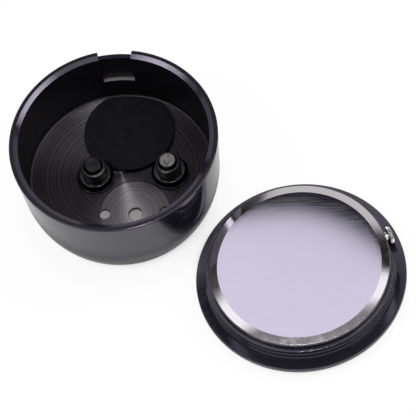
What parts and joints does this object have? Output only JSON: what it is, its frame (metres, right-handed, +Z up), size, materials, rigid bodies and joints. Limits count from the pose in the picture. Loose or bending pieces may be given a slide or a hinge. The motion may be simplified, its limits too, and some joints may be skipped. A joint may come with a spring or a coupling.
{
  "type": "handlebar clock",
  "caption": "Round bowl-shaped handlebar clock housing with a notched rim, and its flanged clock insert lying face down beside it.",
  "frame": {"origin": "on the surface that both halves stand on, midway between the housing and the insert", "axes": "+Z up out of the housing's mouth; +Y from the housing's centre towards its rim notch; +X to the right, towards the insert"},
  "size_m": [0.1054, 0.0887, 0.028],
  "materials": {
    "black_gloss": "gloss black anodised",
    "pad_rubber": "matt black",
    "black_oxide": "black oxide",
    "glass": "clear",
    "rubber": "matt",
    "hand_black": "satin black",
    "dial_white": "satin white",
    "nickel": "nickel plated",
    "brass": "satin",
    "holder_plastic": "matt",
    "polished_steel": "polished, fine brushed disc"
  },
  "bodies": {
    "housing": {"housing_cup": "black_gloss", "floor_pad": "pad_rubber", "mount_bolt_left": "black_oxide", "mount_bolt_right": "black_oxide", "mount_washer_left": "black_oxide", "mount_washer_right": "black_oxide", "mount_nut_left": "black_oxide", "mount_nut_right": "black_oxide"},
    "clock_case": {"bezel_ring": "black_gloss", "crystal": "glass", "crystal_gasket": "rubber", "chapter_ring": "hand_black", "dial": "dial_white", "movement": "brass", "movement_holder": "holder_plastic", "battery": "nickel", "battery_clip": "nickel", "case_back_gasket": "rubber", "case_back": "polished_steel", "stem_tube": "nickel"},
    "lever": {"setting_lever": "nickel"},
    "crown_and_stem": {"crown": "nickel", "winding_stem": "nickel"},
    "hour": {"hour_hand": "hand_black"},
    "minute": {"minute_hand": "hand_black"},
    "second": {"second_hand": "nickel"}
  },
  "joints": [
    {"name": "case_lift", "type": "slide", "parent": "housing", "child": "clock_case", "axis": [0, 0, 1], "range_m": [0, 0.06]},
    {"name": "crown_pull", "type": "slide", "parent": "clock_case", "child": "lever", "axis": [0.9304, 0.3665, 0], "range_m": [0, 0.001]},
    {"name": "crown_turn", "type": "hinge", "parent": "lever", "child": "crown_and_stem", "pos_m": [0.02423, -0.0159, 0.00688], "axis": [0.9304, 0.3665, 0], "continuous": true},
    {"name": "second_turn", "type": "hinge", "parent": "clock_case", "child": "second", "pos_m": [0.02423, -0.0159, 0.003], "axis": [0, 0, -1], "continuous": true},
    {"name": "minute_turn", "type": "hinge", "parent": "clock_case", "child": "minute", "pos_m": [0.02423, -0.0159, 0.003], "axis": [0, 0, -1], "continuous": true},
    {"name": "hour_turn", "type": "hinge", "parent": "clock_case", "child": "hour", "pos_m": [0.02423, -0.0159, 0.003], "axis": [0, 0, -1], "continuous": true}
  ],
  "couplings": [
    {"joint": "minute_turn", "follows": "second_turn", "ratio": 0.016667},
    {"joint": "hour_turn", "follows": "second_turn", "ratio": 0.0013889}
  ]
}
